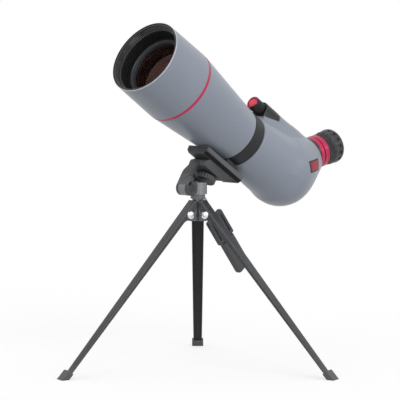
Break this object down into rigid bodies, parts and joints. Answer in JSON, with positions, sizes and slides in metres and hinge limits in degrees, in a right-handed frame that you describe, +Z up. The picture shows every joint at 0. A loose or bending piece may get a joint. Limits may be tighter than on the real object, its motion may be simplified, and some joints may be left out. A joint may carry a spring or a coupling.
{
  "type": "telescope on tripod",
  "caption": "Angled spotting scope with a tapered tube, turning collar, focus knob and zoom eyepiece, on a small pan-and-tilt head with folding channel legs.",
  "frame": {"origin": "on the floor, in the middle of the part's footprint box", "axes": "+Z up; +Y from the objective back to the eyepiece; +X to the scope's left side"},
  "size_m": [0.2858, 0.3848, 0.3728],
  "materials": {
    "grey_paint": "satin slate-grey painted polycarbonate",
    "red_anodised": "glossy crimson",
    "black_plastic": "fine matt black",
    "black_rubber": "matt black rubber",
    "coated_glass": "coated optical glass",
    "clear_glass": "polished optical glass",
    "dark_enamel": "textured charcoal enamel on pressed steel",
    "bright_screw": "polished",
    "steel": "plain turned steel",
    "brass": "turned"
  },
  "bodies": {
    "tripod": {"hub": "dark_enamel", "pivot_screws": "bright_screw", "pan_screw": "steel", "pan_washer": "black_plastic"},
    "leg_right": {"leg_right": "dark_enamel", "foot_right": "black_rubber"},
    "leg_back": {"leg_back": "dark_enamel", "foot_back": "black_rubber"},
    "leg_left": {"leg_left": "dark_enamel", "foot_left": "black_rubber"},
    "pan": {"pan_base": "black_plastic"},
    "tilt": {"tilt_bracket": "black_plastic", "tilt_bolt": "steel", "tilt_nut": "steel", "plate": "black_plastic", "plate_pad": "black_rubber", "foot_screw": "steel", "collar": "black_plastic"},
    "handle": {"handle_rod": "steel", "handle_blade": "black_plastic", "handle_grip": "black_plastic"},
    "clamp": {"clamp_knob": "black_plastic", "clamp_stud": "steel"},
    "collar_lock": {"collar_lock": "black_plastic"},
    "scope": {"objective_hood": "grey_paint", "trim_ring": "red_anodised", "main_tube": "grey_paint", "thread_ring": "black_plastic", "objective_cell": "black_plastic", "lens_retainer": "black_plastic", "objective_front": "coated_glass", "objective_rear": "clear_glass", "light_baffle": "black_plastic", "neck_sleeve": "black_plastic", "prism_housing": "grey_paint", "badge_plate": "red_anodised", "prism_holder": "black_plastic", "roof_prism": "clear_glass", "focus_cover": "black_plastic", "eyepiece_barrel": "black_plastic", "red_ring": "red_anodised", "eye_lens": "coated_glass", "eye_lens_ring": "black_plastic"},
    "focus_knob": {"focus_knob": "black_rubber", "focus_cap": "red_anodised", "focus_screw": "brass"},
    "focus_carriage": {"focus_carriage": "black_plastic", "focus_lens": "clear_glass"},
    "zoom_ring": {"zoom_ring": "black_rubber"},
    "zoom_cell": {"zoom_cell": "black_plastic", "zoom_lens": "clear_glass"},
    "eyecup": {"eyecup": "black_rubber"}
  },
  "joints": [
    {"name": "leg_fold_right", "type": "hinge", "parent": "tripod", "child": "leg_right", "pos_m": [-0.00956, -0.0262, 0.167], "axis": [-0.247, 0.969, 0], "range_deg": [0, 42]},
    {"name": "leg_fold_back", "type": "hinge", "parent": "tripod", "child": "leg_back", "pos_m": [-0.02957, -0.02057, 0.167], "axis": [-0.7157, -0.6984, 0], "range_deg": [0, 42]},
    {"name": "leg_fold_left", "type": "hinge", "parent": "tripod", "child": "leg_left", "pos_m": [-0.02444, -0.04071, 0.167], "axis": [0.9627, -0.2706, 0], "range_deg": [0, 42]},
    {"name": "pan_turn", "type": "hinge", "parent": "tripod", "child": "pan", "pos_m": [-0.02119, -0.02916, 0.1876], "axis": [0, 0, 1], "continuous": true},
    {"name": "tilt_turn", "type": "hinge", "parent": "pan", "child": "tilt", "pos_m": [-0.02119, -0.04666, 0.196], "axis": [1, 0, 0], "range_deg": [0, 63]},
    {"name": "handle_twist", "type": "hinge", "parent": "tilt", "child": "handle", "pos_m": [-0.04119, -0.01688, 0.20146], "axis": [0, 0.6198, -0.7848], "range_deg": [-45, 45]},
    {"name": "clamp_turn", "type": "hinge", "parent": "tilt", "child": "clamp", "pos_m": [-0.02119, -0.01409, 0.20852], "axis": [0, -0.5446, -0.8387], "continuous": true},
    {"name": "collar_lock_turn", "type": "hinge", "parent": "tilt", "child": "collar_lock", "pos_m": [-0.02119, 0.03092, 0.24661], "axis": [-1, 0, 0], "range_deg": [-270, 0]},
    {"name": "scope_turn", "type": "hinge", "parent": "tilt", "child": "scope", "pos_m": [-0.02119, 0.03092, 0.24661], "axis": [0, 0.8387, -0.5446], "range_deg": [-60, 90]},
    {"name": "focus_turn", "type": "hinge", "parent": "scope", "child": "focus_knob", "pos_m": [-0.02119, 0.05844, 0.28311], "axis": [0, 0.8387, -0.5446], "range_deg": [-450, 450]},
    {"name": "focus_slide", "type": "slide", "parent": "scope", "child": "focus_carriage", "axis": [0, 0.8387, -0.5446], "range_m": [-0.005, 0.005]},
    {"name": "zoom_turn", "type": "hinge", "parent": "scope", "child": "zoom_ring", "pos_m": [-0.02119, 0.16282, 0.2252], "axis": [0, 0.9781, 0.2079], "range_deg": [0, 100]},
    {"name": "zoom_slide", "type": "slide", "parent": "scope", "child": "zoom_cell", "axis": [0, 0.9781, 0.2079], "range_m": [0, 0.008]},
    {"name": "eyecup_slide", "type": "slide", "parent": "scope", "child": "eyecup", "axis": [0, 0.9781, 0.2079], "range_m": [0, 0.008]}
  ],
  "couplings": [
    {"joint": "focus_turn", "follows": "focus_slide", "rad_per_m": 1570},
    {"joint": "zoom_slide", "follows": "zoom_turn", "m_per_rad": 0.00458}
  ]
}
